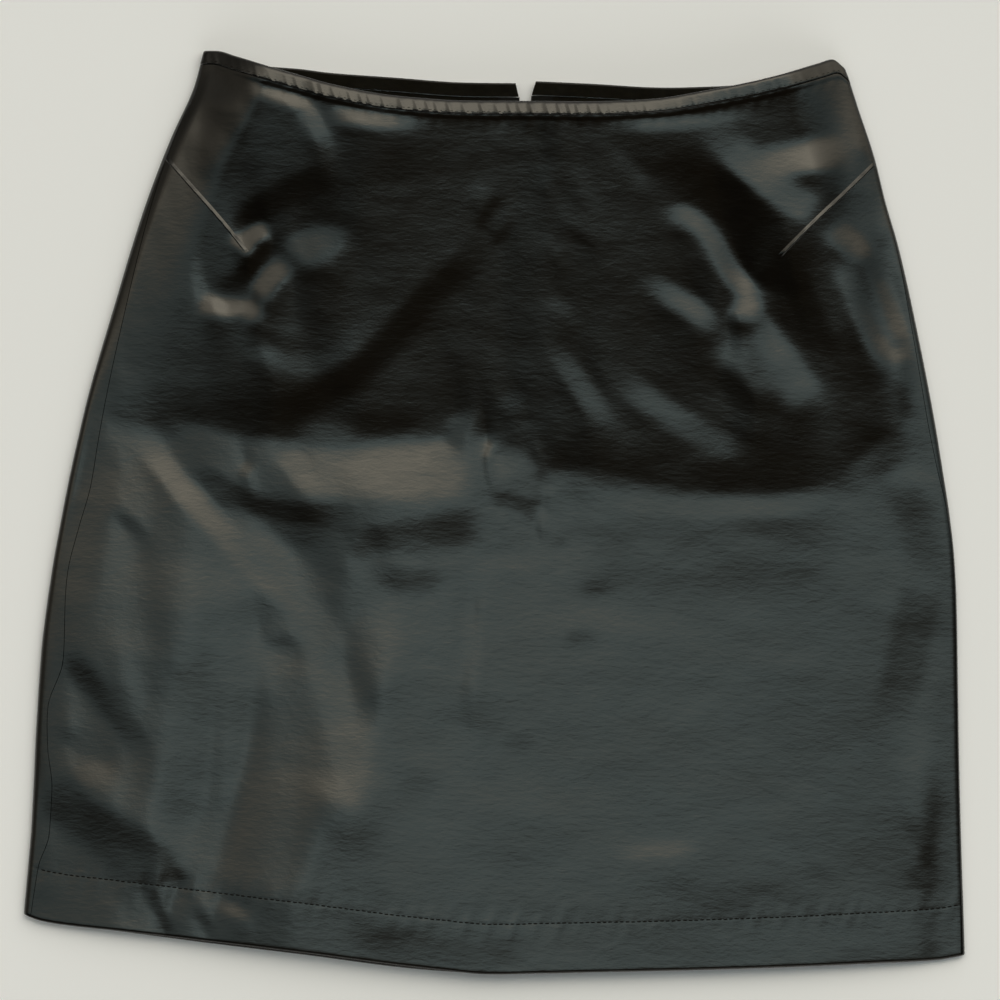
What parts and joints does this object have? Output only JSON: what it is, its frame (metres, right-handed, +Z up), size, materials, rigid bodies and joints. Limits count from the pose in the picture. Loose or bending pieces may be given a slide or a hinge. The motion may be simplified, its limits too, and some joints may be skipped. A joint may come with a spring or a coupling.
{
  "type": "leather mini skirt",
  "caption": "Short black leather skirt laid flat, front up, with hip darts, a narrow waistband, a turned-up hem and a zip at the centre back.",
  "frame": {"origin": "on the surface that the skirt lies on, under the middle of its outline", "axes": "+Z up, from the back to the front of the skirt; +Y towards the waist; +X to the right of somebody who looks down on the front"},
  "size_m": [0.4948, 0.4861, 0.0256],
  "materials": {
    "leather": "glossy black coated leather with a fine crinkled grain",
    "leather_band": "glossy black coated leather, small puckers along the stitching",
    "zip_tape": "black woven tape",
    "zip_chain": "black nylon coil",
    "zip_metal": "black enamelled metal"
  },
  "bodies": {
    "skirt": {"panel_front": "leather", "panel_back_left": "leather", "panel_back_right": "leather", "band_front": "leather_band", "band_back_left": "leather_band", "band_back_right": "leather_band", "zip_tape_left": "zip_tape", "zip_tape_right": "zip_tape", "zip_chain": "zip_chain", "zip_slider": "zip_metal"},
    "pull": {"zip_pull": "zip_metal"}
  },
  "joints": [
    {"name": "zip_pull_swing", "type": "hinge", "parent": "skirt", "child": "pull", "pos_m": [0.001, 0.2015, 0.00155], "axis": [1, 0, 0], "range_deg": [0, 165]}
  ]
}
